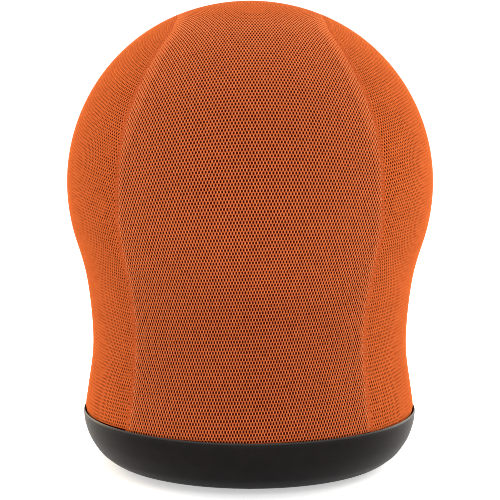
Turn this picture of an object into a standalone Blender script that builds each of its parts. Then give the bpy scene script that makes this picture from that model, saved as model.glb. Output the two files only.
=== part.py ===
"""Balance ball chair: a fitness ball under a stretched mesh cover, carried by a
steel frame that turns on a ball bearing inside a round moulded dish.

Metres, +Z up. The origin is on the chair's vertical axis, on the floor.
The front of the chair faces -Y.
"""

import math

import bmesh
import bpy

# ---------------------------------------------------------------- dimensions
COLLECTION = "balance_ball_chair"

TURNS = 40                 # facets round every large turned piece
GAP = 0.0003               # air between pieces that touch

# ball and cover
BALL_Z = 0.3648            # height of the ball's centre
COVER_R = 0.2355           # outside radius of the cover over the ball
COVER_T = 0.0025           # cover fabric with its backing
BALL_R = 0.2322
BALL_WALL = 0.0022
ARC_STEP = 9.0             # degrees of latitude between the rings of points
VALVE_R = 0.0055           # hole for the stopper at the ball's lowest point
PLUG_SHANK_R = 0.0051
PLUG_HEAD_R = 0.0100

# outside of the cover below the ball: (height, radius), waist and hem
SKIRT = (
    (0.2572, 0.2138),
    (0.2203, 0.2077),
    (0.1833, 0.2044),
    (0.1463, 0.2044),
    (0.1094, 0.2094),
    (0.0860, 0.2129),
    (0.0785, 0.2137),
    (0.0724, 0.2130),
    (0.0600, 0.2106),
)

# half the width of the centre panel at each height, seen from the front
SEAM = (
    (0.6200, 0.0945),
    (0.5800, 0.0950),
    (0.5750, 0.0965),
    (0.5640, 0.1002),
    (0.5490, 0.1100),
    (0.5240, 0.1250),
    (0.4900, 0.1405),
    (0.4500, 0.1535),
    (0.4040, 0.1605),
    (0.3360, 0.1620),
    (0.2980, 0.1575),
    (0.2600, 0.1502),
    (0.2060, 0.1434),
    (0.1400, 0.1448),
    (0.0770, 0.1520),
    (0.0400, 0.1550),
)

# dish: outside of the moulding, (height, radius) from lip to floor
DISH_OUT = (
    (0.0724, 0.2147),
    (0.0712, 0.2154),
    (0.0680, 0.2157),
    (0.0556, 0.2141),
    (0.0387, 0.2084),
    (0.0219, 0.1978),
    (0.0130, 0.1882),
    (0.0070, 0.1790),
    (0.0045, 0.1710),
    (0.0035, 0.1620),
)
# inside of the moulding, from floor to lip
DISH_IN = (
    (0.0065, 0.1640),
    (0.0085, 0.1735),
    (0.0135, 0.1840),
    (0.0219, 0.1940),
    (0.0387, 0.2050),
    (0.0556, 0.2110),
    (0.0690, 0.2136),
    (0.0718, 0.2140),
)
DISH_FLOOR_UNDER = 0.0035
DISH_FLOOR_TOP = 0.0065

FOOT_COUNT = 6
FOOT_R = 0.0120
FOOT_CIRCLE = 0.145
FOOT_RECESS = 0.0015

# turntable
PLATE_R = 0.122
PLATE_Z = (0.0068, 0.0098)
PLATE_SCREW_CIRCLE = 0.108
RACE_R = (0.060, 0.090)
TRACK_R = 0.075
RACE_LOW_Z = (0.0101, 0.0136)
RACE_HIGH_Z = (0.0168, 0.0203)
BALL_TRACK_Z = 0.0152
BEARING_BALL_R = 0.0030
TRACK_GROOVE_R = 0.0035
BEARING_BALLS = 12
CAGE_R = (0.068, 0.082)
CAGE_T = 0.0012

PIVOT_R = 0.0060
PIVOT_SHOULDER_R = 0.0100
PIVOT_HOLE_R = 0.0065
PIVOT_TOP = 0.0365

# turning frame
ARM_Z = (0.0206, 0.0246)
ARM_REACH = 0.181
ARM_WIDTH = 0.030
HUB_R = 0.096
LEG_R = 0.0060
LEG_FOOT_R = 0.172         # distance of the leg's foot from the axis
LEG_RISE_R = 0.1862
HOOP_R = 0.1985
HOOP_ROD_R = 0.0060
HOOP_Z = 0.0520
RING_R = 0.1700
RING_ROD_R = 0.0070
PAD_IN_R = RING_ROD_R + GAP
PAD_OUT_R = PAD_IN_R + 0.0030
RING_Z = BALL_Z - math.sqrt((BALL_R + GAP + PAD_OUT_R) ** 2 - RING_R ** 2)

# hem of the cover, wrapped under the hoop: outer line then inner line
HEM_OUT = ((0.0592, 0.2104), (0.0525, 0.2092), (0.0455, 0.2054), (0.0424, 0.1965))
HEM_IN = ((0.0448, 0.1965), (0.0474, 0.2035), (0.0530, 0.2067), (0.0592, 0.2079))


# ---------------------------------------------------------------- clean start
for old in list(bpy.data.objects):
    bpy.data.objects.remove(old, do_unlink=True)

parts = bpy.data.collections.new(COLLECTION)
tools = bpy.data.collections.new("cutters")
bpy.context.scene.collection.children.link(parts)
bpy.context.scene.collection.children.link(tools)


# ---------------------------------------------------------------- helpers
def finish_of(name, colour, roughness, metallic=0.0):
    made = bpy.data.materials.new(name)
    made.use_nodes = True
    shader = made.node_tree.nodes["Principled BSDF"]
    shader.inputs["Base Color"].default_value = (*colour, 1.0)
    shader.inputs["Roughness"].default_value = roughness
    shader.inputs["Metallic"].default_value = metallic
    return made


ORANGE = (0.80, 0.19, 0.045)
CHARCOAL = (0.022, 0.021, 0.021)
BLACK_RUBBER = (0.015, 0.015, 0.016)
DARK_BALL = (0.045, 0.018, 0.016)
STEEL_PAINT = (0.030, 0.030, 0.032)
ZINC = (0.62, 0.62, 0.60)


def place(obj, colour, roughness, metallic=0.0, parent=None, smooth=True):
    """Links a finished piece, gives it its own material and its parent."""
    obj.data.materials.clear()
    obj.data.materials.append(finish_of(obj.name + "_finish", colour, roughness, metallic))
    if smooth and obj.type == "MESH":
        obj.data.shade_smooth()
        obj.data.set_sharp_from_angle(angle=math.radians(35))
    parts.objects.link(obj)
    if parent is not None:
        obj.parent = parent
    return obj


def cutter(obj):
    tools.objects.link(obj)
    obj.hide_render = True
    obj.display_type = "WIRE"
    return obj


def empty(name, parent=None):
    """A joint's guide on the chair's vertical axis."""
    made = bpy.data.objects.new(name, None)
    made.empty_display_size = 0.05
    parts.objects.link(made)
    made.parent = parent
    return made


def line_mesh(name, points, closed):
    """A profile in the XZ plane from (radius, height) points."""
    mesh = bpy.data.meshes.new(name)
    edges = [(i, i + 1) for i in range(len(points) - 1)]
    if closed:
        edges.append((len(points) - 1, 0))
    mesh.from_pydata([(r, 0.0, z) for r, z in points], edges, [])
    return mesh


def screw(obj, steps=TURNS):
    turn = obj.modifiers.new("turn", "SCREW")
    turn.axis = "Z"
    turn.angle = 2 * math.pi
    turn.steps = steps
    turn.render_steps = steps
    turn.use_merge_vertices = True
    turn.merge_threshold = 0.00005
    turn.use_smooth_shade = True
    return obj


def turned(name, points, closed=False, steps=TURNS):
    """A solid of revolution. Points run down the outer side, top to bottom."""
    obj = bpy.data.objects.new(name, line_mesh(name, points, closed))
    return screw(obj, steps)


def arc(centre_r, centre_z, radius, start, stop, count):
    """(radius, height) points on an arc; angles in degrees from +radius."""
    out = []
    for i in range(count):
        a = math.radians(start + (stop - start) * i / (count - 1))
        out.append((centre_r + radius * math.cos(a), centre_z + radius * math.sin(a)))
    return out


def sphere_points(radius, centre_z, first, last, count):
    """(radius, height) points down a ball, angles in degrees from the top pole."""
    out = []
    for i in range(count):
        a = math.radians(first + (last - first) * i / (count - 1))
        out.append((radius * math.sin(a), centre_z + radius * math.cos(a)))
    if first == 0:
        out[0] = (0.0, centre_z + radius)
    return out


def cylinder(name, radius, low, high, at=(0.0, 0.0), sides=24):
    mesh = bpy.data.meshes.new(name)
    build = bmesh.new()
    bmesh.ops.create_cone(build, cap_ends=True, segments=sides, radius1=radius,
                          radius2=radius, depth=high - low)
    build.to_mesh(mesh)
    build.free()
    obj = bpy.data.objects.new(name, mesh)
    obj.location = (at[0], at[1], (low + high) / 2)
    return obj


def boolean(obj, other, operation):
    step = obj.modifiers.new(operation.lower() + "_" + other.name, "BOOLEAN")
    step.operation = operation
    step.object = other
    step.solver = "EXACT"


def torus(name, major, minor, z, sides=8):
    bpy.ops.mesh.primitive_torus_add(major_segments=TURNS, minor_segments=sides,
                                     major_radius=major, minor_radius=minor)
    obj = bpy.context.object
    obj.name = name
    obj.data.name = name
    obj.location = (0.0, 0.0, z)
    for owner in list(obj.users_collection):
        owner.objects.unlink(obj)
    return obj


def catmull(points, between):
    """A smooth line through the points, with `between` steps a span."""
    ends = [points[0]] + list(points) + [points[-1]]
    out = []
    for i in range(1, len(ends) - 2):
        p0, p1, p2, p3 = ends[i - 1:i + 3]
        for k in range(between):
            t = k / between
            out.append(tuple(
                0.5 * (2 * b + (c - a) * t + (2 * a - 5 * b + 4 * c - d) * t * t
                       + (3 * b - a - 3 * c + d) * t ** 3)
                for a, b, c, d in zip(p0, p1, p2, p3)))
    out.append(tuple(points[-1]))
    return out


def polar(radius, degrees):
    a = math.radians(degrees)
    return radius * math.cos(a), radius * math.sin(a)


# ---------------------------------------------------------------- axes
base_origin = empty("base_origin")
cage_axis = empty("cage_axis", base_origin)
swivel_axis = empty("swivel_axis", base_origin)
seat_guide = empty("seat_guide", swivel_axis)

# ---------------------------------------------------------------- dish and feet
outer = [(r, z) for z, r in DISH_OUT]
inner = [(r, z) for z, r in DISH_IN]
base_dish = turned(
    "base_dish", [(0.0, DISH_FLOOR_TOP)] + inner + outer + [(0.0, DISH_FLOOR_UNDER)])
for i in range(FOOT_COUNT):
    x, y = polar(FOOT_CIRCLE, 30 + 60 * i)
    pocket = cutter(cylinder(f"foot_pocket_{i + 1}", FOOT_R + 0.0006,
                             DISH_FLOOR_UNDER - 0.003, DISH_FLOOR_UNDER + FOOT_RECESS,
                             (x, y), 16))
    boolean(base_dish, pocket, "DIFFERENCE")
    foot = turned(
        f"foot_pad_{i + 1}",
        [(0.0, DISH_FLOOR_UNDER + FOOT_RECESS - GAP),
         (FOOT_R, DISH_FLOOR_UNDER + FOOT_RECESS - GAP),
         (FOOT_R, 0.0008), (FOOT_R - 0.0012, 0.0), (0.0, 0.0)],
        steps=16)
    foot.location = (x, y, 0.0)
    place(foot, BLACK_RUBBER, 0.8, parent=base_origin)
for i in range(4):
    x, y = polar(PLATE_SCREW_CIRCLE, 45 + 90 * i)
    boolean(base_dish, cutter(cylinder(f"floor_hole_{i + 1}", 0.0026, -0.002, 0.012,
                                       (x, y), 12)), "DIFFERENCE")
place(base_dish, CHARCOAL, 0.42, parent=base_origin)

# ---------------------------------------------------------------- turntable
low, high = PLATE_Z
base_plate = turned("base_plate", [(0.0, high), (PLATE_R - 0.0008, high),
                                   (PLATE_R, high - 0.0008), (PLATE_R, low), (0.0, low)])
for i in range(4):
    x, y = polar(PLATE_SCREW_CIRCLE, 45 + 90 * i)
    boolean(base_plate, cutter(cylinder(f"plate_hole_{i + 1}", 0.0026, low - 0.003,
                                        high + 0.003, (x, y), 12)), "DIFFERENCE")
    screw_piece = turned(
        f"plate_screw_{i + 1}",
        [(0.0, high + GAP + 0.0022), (0.0022, high + GAP + 0.0022),
         (0.0046, high + GAP + 0.0009), (0.0046, high + GAP),
         (0.0021, high + GAP), (0.0021, 0.0046), (0.0, 0.0040)],
        steps=12)
    screw_piece.location = (x, y, 0.0)
    place(screw_piece, ZINC, 0.35, 1.0, parent=base_origin)
place(base_plate, STEEL_PAINT, 0.5, 0.6, parent=base_origin)

in_r, out_r = RACE_R
low, high = RACE_LOW_Z
half = math.degrees(math.acos((BALL_TRACK_Z - high) / TRACK_GROOVE_R))
groove_low = arc(TRACK_R, BALL_TRACK_Z, TRACK_GROOVE_R, 270 - half, 270 + half, 5)
lower_race = turned("lower_race",
                    [(out_r, high), (out_r, low), (in_r, low), (in_r, high)] + groove_low,
                    closed=True)
place(lower_race, ZINC, 0.3, 1.0, parent=base_origin)

low, high = RACE_HIGH_Z
half = math.degrees(math.acos((low - BALL_TRACK_Z) / TRACK_GROOVE_R))
groove_high = arc(TRACK_R, BALL_TRACK_Z, TRACK_GROOVE_R, 90 - half, 90 + half, 5)
upper_race = turned("upper_race",
                    [(out_r, high), (out_r, low)] + groove_high + [(in_r, low), (in_r, high)],
                    closed=True)
place(upper_race, ZINC, 0.3, 1.0, parent=swivel_axis)

in_r, out_r = CAGE_R
cage = turned("ball_cage",
              [(out_r, BALL_TRACK_Z + CAGE_T / 2), (out_r, BALL_TRACK_Z - CAGE_T / 2),
               (in_r, BALL_TRACK_Z - CAGE_T / 2), (in_r, BALL_TRACK_Z + CAGE_T / 2)],
              closed=True, steps=24)
mesh = bpy.data.meshes.new("bearing_balls")
build = bmesh.new()
for i in range(BEARING_BALLS):
    made = bmesh.ops.create_uvsphere(build, u_segments=8, v_segments=6, radius=BEARING_BALL_R)
    x, y = polar(TRACK_R, 360 * i / BEARING_BALLS)
    bmesh.ops.translate(build, verts=made["verts"], vec=(x, y, BALL_TRACK_Z))
build.to_mesh(mesh)
build.free()
boolean(cage, cutter(bpy.data.objects.new("bearing_balls", mesh)), "UNION")
place(cage, ZINC, 0.25, 1.0, parent=cage_axis)

pivot = turned("pivot_stud",
               [(0.0, PIVOT_TOP), (PIVOT_R - 0.0008, PIVOT_TOP),
                (PIVOT_R, PIVOT_TOP - 0.0008), (PIVOT_R, ARM_Z[0] - GAP),
                (PIVOT_SHOULDER_R, ARM_Z[0] - GAP), (PIVOT_SHOULDER_R, PLATE_Z[1] + GAP),
                (0.0, PLATE_Z[1] + GAP)], steps=16)
place(pivot, ZINC, 0.3, 1.0, parent=base_origin)
low = ARM_Z[1] + GAP
washer = turned("pivot_washer", [(0.0150, low + 0.0016), (0.0150, low),
                                 (PIVOT_HOLE_R, low), (PIVOT_HOLE_R, low + 0.0016)],
                closed=True, steps=16)
place(washer, ZINC, 0.3, 1.0, parent=base_origin)
low += 0.0016 + GAP
nut = cylinder("pivot_nut", 0.0108, low, low + 0.0070, sides=6)
boolean(nut, cutter(cylinder("nut_bore", PIVOT_HOLE_R, low - 0.003, low + 0.010, sides=16)),
        "DIFFERENCE")
place(nut, ZINC, 0.3, 1.0, parent=base_origin, smooth=False)

# ---------------------------------------------------------------- turning frame
low, high = ARM_Z
spider = cylinder("spider", HUB_R, low, high, sides=32)
for name, size in (("arms_x", (2 * ARM_REACH, ARM_WIDTH)), ("arms_y", (ARM_WIDTH, 2 * ARM_REACH))):
    mesh = bpy.data.meshes.new(name)
    build = bmesh.new()
    bmesh.ops.create_cube(build, size=1.0)
    bmesh.ops.scale(build, vec=(size[0], size[1], high - low), verts=build.verts)
    build.to_mesh(mesh)
    build.free()
    bars = bpy.data.objects.new(name, mesh)
    bars.location = (0.0, 0.0, (low + high) / 2)
    boolean(spider, cutter(bars), "UNION")
boolean(spider, cutter(cylinder("spider_bore", PIVOT_HOLE_R, low - 0.004, high + 0.004,
                                sides=16)), "DIFFERENCE")

ring_vec = (RING_R - LEG_RISE_R, RING_Z - 0.1500)
ring_len = math.hypot(*ring_vec)
leg_top = (RING_R - ring_vec[0] / ring_len * (RING_ROD_R + 0.0004),
           RING_Z - ring_vec[1] / ring_len * (RING_ROD_R + 0.0004))
leg_points = [(LEG_FOOT_R, high + GAP)] + catmull([(LEG_FOOT_R, high + 0.007),
                      (LEG_FOOT_R + 0.0040, high + 0.0155),
                      (LEG_RISE_R - 0.0035, high + 0.0215),
                      (LEG_RISE_R, high + 0.0285), (LEG_RISE_R, 0.1000),
                      (LEG_RISE_R - 0.0012, 0.1480), leg_top], 2)
for i in range(4):
    turn = 90 * i
    curve = bpy.data.curves.new(f"leg_{i + 1}_line", "CURVE")
    curve.dimensions = "3D"
    curve.bevel_depth = LEG_R
    curve.bevel_resolution = 2
    curve.use_fill_caps = True
    spline = curve.splines.new("POLY")
    spline.points.add(len(leg_points) - 1)
    for point, (r, z) in zip(spline.points, leg_points):
        point.co = (r, 0.0, z, 1.0)
    guide = bpy.data.objects.new(f"leg_{i + 1}_line", curve)
    parts.objects.link(guide)
    bpy.context.view_layer.update()
    mesh = bpy.data.meshes.new_from_object(
        guide.evaluated_get(bpy.context.evaluated_depsgraph_get()))
    bpy.data.objects.remove(guide, do_unlink=True)
    build = bmesh.new()
    build.from_mesh(mesh)
    bmesh.ops.remove_doubles(build, verts=build.verts, dist=0.00001)
    bmesh.ops.recalc_face_normals(build, faces=build.faces)
    build.to_mesh(mesh)
    build.free()
    leg = bpy.data.objects.new(f"leg_{i + 1}", mesh)
    leg.rotation_euler = (0.0, 0.0, math.radians(turn))
    x, y = polar(LEG_FOOT_R, turn)
    boolean(leg, cutter(cylinder(f"leg_tap_{i + 1}", 0.0026, high - 0.004, high + 0.012,
                                 (x, y), 12)), "DIFFERENCE")
    place(leg, STEEL_PAINT, 0.45, 0.5, parent=swivel_axis)
    boolean(spider, cutter(cylinder(f"arm_hole_{i + 1}", 0.0029, low - 0.004, high + 0.004,
                                    (x, y), 12)), "DIFFERENCE")
    bolt = turned(f"leg_bolt_{i + 1}",
                  [(0.0, high + 0.0110), (0.0021, high + 0.0105), (0.0021, low - GAP),
                   (0.0056, low - GAP), (0.0056, low - GAP - 0.0022),
                   (0.0034, low - GAP - 0.0034), (0.0, low - GAP - 0.0034)],
                  steps=12)
    bolt.location = (x, y, 0.0)
    place(bolt, ZINC, 0.35, 1.0, parent=swivel_axis)
place(spider, STEEL_PAINT, 0.5, 0.5, parent=swivel_axis, smooth=False)

place(torus("lower_hoop", HOOP_R, HOOP_ROD_R, HOOP_Z), STEEL_PAINT, 0.45, 0.5,
      parent=swivel_axis)
place(torus("ball_ring", RING_R, RING_ROD_R, RING_Z), STEEL_PAINT, 0.45, 0.5,
      parent=swivel_axis)

# soft sleeve on the side of the ring that the ball rests on
to_ball = math.degrees(math.atan2(BALL_Z - RING_Z, -RING_R))
pad_outer = arc(RING_R, RING_Z, PAD_OUT_R, to_ball + 78, to_ball - 78, 7)
pad_inner = arc(RING_R, RING_Z, PAD_IN_R, to_ball - 78, to_ball + 78, 7)
ring_pad = turned("ring_pad", pad_outer + pad_inner, closed=True)
place(ring_pad, BLACK_RUBBER, 0.85, parent=swivel_axis)

hem_band = turned("hem_band", [(r, z) for z, r in HEM_OUT + HEM_IN], closed=True)
place(hem_band, (0.05, 0.015, 0.010), 0.9, parent=swivel_axis)

# ---------------------------------------------------------------- ball
hole_angle = 180 - math.degrees(math.asin(VALVE_R / BALL_R))
inner_angle = 180 - math.degrees(math.asin(VALVE_R / (BALL_R - BALL_WALL)))
shell = sphere_points(BALL_R, BALL_Z, 0, 171, 20) + [
    (VALVE_R, BALL_Z + BALL_R * math.cos(math.radians(hole_angle)))]
hollow = sphere_points(BALL_R - BALL_WALL, BALL_Z, 0, 162, 10) + [
    (VALVE_R, BALL_Z + (BALL_R - BALL_WALL) * math.cos(math.radians(inner_angle)))]
ball = turned("exercise_ball", shell + list(reversed(hollow)))
place(ball, DARK_BALL, 0.55, parent=seat_guide)

pole = BALL_Z - BALL_R
plug = turned("valve_plug",
              [(0.0, pole + 0.0046), (PLUG_SHANK_R - 0.0009, pole + 0.0046),
               (PLUG_SHANK_R, pole + 0.0030), (PLUG_SHANK_R, pole - 0.0004),
               (PLUG_HEAD_R, pole - 0.0004), (PLUG_HEAD_R - 0.0006, pole - 0.0022),
               (0.0, pole - 0.0024)], steps=20)
place(plug, (0.75, 0.74, 0.70), 0.5, parent=seat_guide)


# ---------------------------------------------------------------- cover panels
def cover_profile():
    """Closed profile of the whole cover: outside down to the hem, then inside back up."""
    tip = 108
    count = int(tip / ARC_STEP) + 1
    outside = sphere_points(COVER_R, BALL_Z, 0, tip, count) + [(r, z) for z, r in SKIRT]
    inside_r = COVER_R - COVER_T
    inside = sphere_points(inside_r, BALL_Z, 0, tip, count)
    for z, r in SKIRT:
        inside.append((r - COVER_T, z))
    return outside + list(reversed(inside))


def seam_curve(offset, top=0.64, bottom=0.04):
    """(half width, height) along the seam, moved sideways by offset."""
    points = [(x, z) for z, x in SEAM]
    line = [(x + offset, z) for x, z in catmull(points, 2)]
    return [(line[0][0], top)] + line + [(line[-1][0], bottom - 0.01)]


def prism(name, outline):
    """A solid that runs through the chair from front to back, with this outline seen from the front."""
    mesh = bpy.data.meshes.new(name)
    build = bmesh.new()
    corners = [build.verts.new((x, -0.35, z)) for x, z in outline]
    face = build.faces.new(corners)
    out = bmesh.ops.extrude_face_region(build, geom=[face])
    moved = [v for v in out["geom"] if isinstance(v, bmesh.types.BMVert)]
    bmesh.ops.translate(build, verts=moved, vec=(0.0, 0.70, 0.0))
    bmesh.ops.recalc_face_normals(build, faces=build.faces)
    build.to_mesh(mesh)
    build.free()
    return cutter(bpy.data.objects.new(name, mesh))


narrow = seam_curve(-GAP / 2)
wide = seam_curve(GAP / 2)
regions = {
    "cover_center_panel": narrow + [(-x, z) for x, z in reversed(narrow)],
    "cover_side_panel_right": wide + [(0.32, wide[-1][1]), (0.32, wide[0][1])],
    "cover_side_panel_left": [(-x, z) for x, z in wide]
    + [(-0.32, wide[-1][1]), (-0.32, wide[0][1])],
}
for name, outline in regions.items():
    panel = turned(name, cover_profile())
    boolean(panel, prism(name + "_region", outline), "INTERSECT")
    place(panel, ORANGE, 0.75, parent=seat_guide)
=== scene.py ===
import math

import bmesh
import bpy
import numpy as np
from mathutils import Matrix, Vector, kdtree


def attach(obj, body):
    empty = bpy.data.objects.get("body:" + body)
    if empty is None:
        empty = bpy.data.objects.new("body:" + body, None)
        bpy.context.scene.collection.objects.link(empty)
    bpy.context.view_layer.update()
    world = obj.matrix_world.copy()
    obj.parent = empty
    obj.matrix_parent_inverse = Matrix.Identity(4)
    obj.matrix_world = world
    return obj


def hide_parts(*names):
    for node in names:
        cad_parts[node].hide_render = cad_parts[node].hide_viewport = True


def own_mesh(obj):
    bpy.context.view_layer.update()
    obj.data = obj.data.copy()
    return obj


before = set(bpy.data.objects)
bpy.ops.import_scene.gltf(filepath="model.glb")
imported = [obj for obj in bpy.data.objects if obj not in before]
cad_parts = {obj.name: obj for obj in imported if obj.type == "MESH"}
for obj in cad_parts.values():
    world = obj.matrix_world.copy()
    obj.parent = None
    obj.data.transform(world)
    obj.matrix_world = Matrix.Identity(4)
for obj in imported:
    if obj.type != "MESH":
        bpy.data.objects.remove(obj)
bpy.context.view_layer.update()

RNG = np.random.default_rng(7)

# ------------------------------------------------------------------ dimensions
BALL_Z = 0.3648            # height of the ball's centre
COVER_R = 0.2355           # outside radius of the cover over the ball
TIP = math.radians(108)    # how far down from the pole the cover follows the ball
SKIRT = ((0.2572, 0.2138), (0.2203, 0.2077), (0.1833, 0.2044), (0.1463, 0.2044),
         (0.1094, 0.2094), (0.0860, 0.2129), (0.0785, 0.2137), (0.0724, 0.2130),
         (0.0600, 0.2106))
SEAM = ((0.6200, 0.0945), (0.5800, 0.0950), (0.5750, 0.0965), (0.5640, 0.1002),
        (0.5490, 0.1100), (0.5240, 0.1250), (0.4900, 0.1405), (0.4500, 0.1535),
        (0.4040, 0.1605), (0.3360, 0.1620), (0.2980, 0.1575), (0.2600, 0.1502),
        (0.2060, 0.1434), (0.1400, 0.1448), (0.0770, 0.1520), (0.0400, 0.1550))
DISH_OUT = ((0.0724, 0.2155), (0.0712, 0.2162), (0.0680, 0.2165), (0.0556, 0.2149),
            (0.0387, 0.2092), (0.0219, 0.1986), (0.0130, 0.1889), (0.0070, 0.1795),
            (0.0045, 0.1713), (0.0035, 0.1620))
DISH_IN = ((0.0065, 0.1640), (0.0085, 0.1735), (0.0135, 0.1840), (0.0219, 0.1940),
           (0.0387, 0.2051), (0.0556, 0.2114), (0.0690, 0.2143), (0.0718, 0.2148))
HEM_OUT = ((0.0592, 0.2104), (0.0525, 0.2092), (0.0455, 0.2054), (0.0424, 0.1965))
HEM_IN = ((0.0448, 0.1965), (0.0474, 0.2035), (0.0530, 0.2067), (0.0592, 0.2079))

# mesh of the cover, in metres
WALL = 0.00130             # depth of the hole's wall
LINING = 0.00120           # depth of the lining's outside
EDGE_D = 0.0026            # width of the strip beside a seam
COVER_BOTTOM = 0.0590
# pitch along a row, at each height of the row on the panel's middle line
PITCH = ((0.05, 0.00372), (0.105, 0.00367), (0.134, 0.00355), (0.163, 0.00348),
         (0.193, 0.00344), (0.223, 0.00346), (0.253, 0.00352), (0.284, 0.00362),
         (0.314, 0.00374), (0.343, 0.00383), (0.372, 0.00388), (0.401, 0.00393),
         (0.456, 0.00396), (0.484, 0.003945), (0.511, 0.00390), (0.538, 0.00383),
         (0.565, 0.00371), (0.601, 0.00366))
# distance from row to row
STEP = ((0.05, 0.00438), (0.105, 0.00438), (0.134, 0.00441), (0.163, 0.00445),
        (0.193, 0.00448), (0.223, 0.00448), (0.253, 0.00437), (0.284, 0.00440),
        (0.314, 0.00428), (0.343, 0.004245), (0.372, 0.00418), (0.401, 0.004135),
        (0.456, 0.00409), (0.511, 0.00410), (0.565, 0.00415), (0.601, 0.00415))
# a row lies in a plane through its point on the middle line and this height of the axis
TILT_CENTER = ((0.05, 0.05), (0.105, 0.105), (0.134, 0.127), (0.193, 0.179),
               (0.253, 0.229), (0.314, 0.277), (0.372, 0.321), (0.401, 0.337),
               (0.429, 0.350), (0.456, 0.370), (0.484, 0.387), (0.511, 0.399),
               (0.54, 0.425), (0.565, 0.450), (0.5855, 0.465), (0.6003, 0.475))
STEP_SIDE = ((0.05, 0.004587), (0.12, 0.004461), (0.18, 0.004560), (0.24, 0.004453),
             (0.30, 0.004254), (0.365, 0.004119), (0.42, 0.004170), (0.47, 0.004140),
             (0.52, 0.004210), (0.58, 0.004400))
# how steeply a row of a side panel drops towards the seams, in metres a radian round
# the axis, by the row's height on the panel's middle line
DROP_SIDE = ((0.05, 0.0011), (0.12, 0.0038), (0.18, 0.0087), (0.24, 0.0156), (0.30, 0.0184),
             (0.365, 0.0251), (0.42, 0.0324), (0.47, 0.0371), (0.52, 0.0395), (0.58, 0.0370))
DROP_SOFT = 0.25           # radians over which the drop sets in
# rows that one column further right rises by
SKEW_CENTER = ((0.05, 0.031), (0.60, 0.031))
SKEW_SIDE = ((0.05, 0.030), (0.13, 0.022), (0.18, 0.0), (0.24, -0.012), (0.30, -0.018),
             (0.38, -0.025), (0.46, -0.048), (0.60, -0.050))


# ------------------------------------------------------------------ the cover's form
def clamped_spline(points, first_slope, step):
    """A smooth line through (r, z) points that starts along first_slope."""
    p = np.array(points, float)
    t = np.concatenate([[0], np.cumsum(np.linalg.norm(np.diff(p, axis=0), axis=1))])
    n, h = len(p), np.diff(t)
    a, b = np.zeros((n, n)), np.zeros((n, 2))
    a[0, :2] = 2 * h[0], h[0]
    b[0] = 6 * ((p[1] - p[0]) / h[0] - np.array(first_slope))
    for i in range(1, n - 1):
        a[i, i - 1:i + 2] = h[i - 1], 2 * (h[i - 1] + h[i]), h[i]
        b[i] = 6 * ((p[i + 1] - p[i]) / h[i] - (p[i] - p[i - 1]) / h[i - 1])
    a[-1, -1] = 1
    m = np.linalg.solve(a, b)
    out = []
    for x in np.arange(0, t[-1], step):
        i = min(int(np.searchsorted(t, x, "right")) - 1, n - 2)
        u, v = t[i + 1] - x, x - t[i]
        out.append((m[i] * u ** 3 + m[i + 1] * v ** 3) / (6 * h[i])
                   + (p[i] / h[i] - m[i] * h[i] / 6) * u
                   + (p[i + 1] / h[i] - m[i + 1] * h[i] / 6) * v)
    out.append(p[-1])
    return np.array(out)


angles = np.linspace(0, TIP, 900)
ball_part = np.stack([COVER_R * np.sin(angles), BALL_Z + COVER_R * np.cos(angles)], 1)
skirt_part = clamped_spline([ball_part[-1]] + [(r, z) for z, r in SKIRT],
                            (math.cos(TIP), -math.sin(TIP)), 0.0004)
PROFILE = np.concatenate([ball_part, skirt_part[1:]])
PROFILE_S = np.concatenate([[0], np.cumsum(np.linalg.norm(np.diff(PROFILE, axis=0), axis=1))])
tangent = np.gradient(PROFILE, PROFILE_S, axis=0)
tangent /= np.linalg.norm(tangent, axis=1)[:, None]
DOWN = slice(None, None, -1)
Z_UP, R_UP, NR_UP, NZ_UP = (PROFILE[DOWN, 1], PROFILE[DOWN, 0],
                            -tangent[DOWN, 1], tangent[DOWN, 0])
Z_TIP = BALL_Z + COVER_R * math.cos(TIP)


def radius_squared(z):
    ball = COVER_R ** 2 - (z - BALL_Z) ** 2
    return np.where(z >= Z_TIP, ball, np.interp(z, Z_UP, R_UP) ** 2)


def normal_at(p):
    """Outward normals of the cover's surface at points on or near it."""
    ball = (p - (0, 0, BALL_Z)) / COVER_R
    flat = np.hypot(p[:, 0], p[:, 1]) + 1e-12
    nr, nz = np.interp(p[:, 2], Z_UP, NR_UP), np.interp(p[:, 2], Z_UP, NZ_UP)
    skirt = np.stack([p[:, 0] / flat * nr, p[:, 1] / flat * nr, nz], 1)
    n = np.where((p[:, 2] >= Z_TIP)[:, None], ball, skirt)
    return n / np.linalg.norm(n, axis=1)[:, None]


def onto_cover(p):
    """Moves points that are near the cover along its normal onto it."""
    for _ in range(3):
        n = normal_at(p)
        ball = COVER_R - np.linalg.norm(p - (0, 0, BALL_Z), axis=1)
        flat = np.interp(p[:, 2], Z_UP, R_UP) - np.hypot(p[:, 0], p[:, 1])
        off = np.where(p[:, 2] >= Z_TIP, ball, flat * np.hypot(n[:, 0], n[:, 1]))
        p = p + n * off[:, None]
    return p


def smoothed_table(pairs, low, high, width):
    """The pairs' line with its corners rounded over width."""
    x = np.arange(low - 3 * width, high + 3 * width, 0.0005)
    y = np.interp(x, [a for a, _ in pairs], [b for _, b in pairs])
    first, last = pairs[0], pairs[-1]
    y += np.minimum(x - first[0], 0) * (pairs[1][1] - first[1]) / (pairs[1][0] - first[0])
    y += np.maximum(x - last[0], 0) * (last[1] - pairs[-2][1]) / (last[0] - pairs[-2][0])
    k = np.hanning(int(2 * width / 0.0005) | 1)
    y = np.convolve(y, k / k.sum(), "same")
    keep = (x >= low) & (x <= high)
    return x[keep], y[keep]


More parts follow.
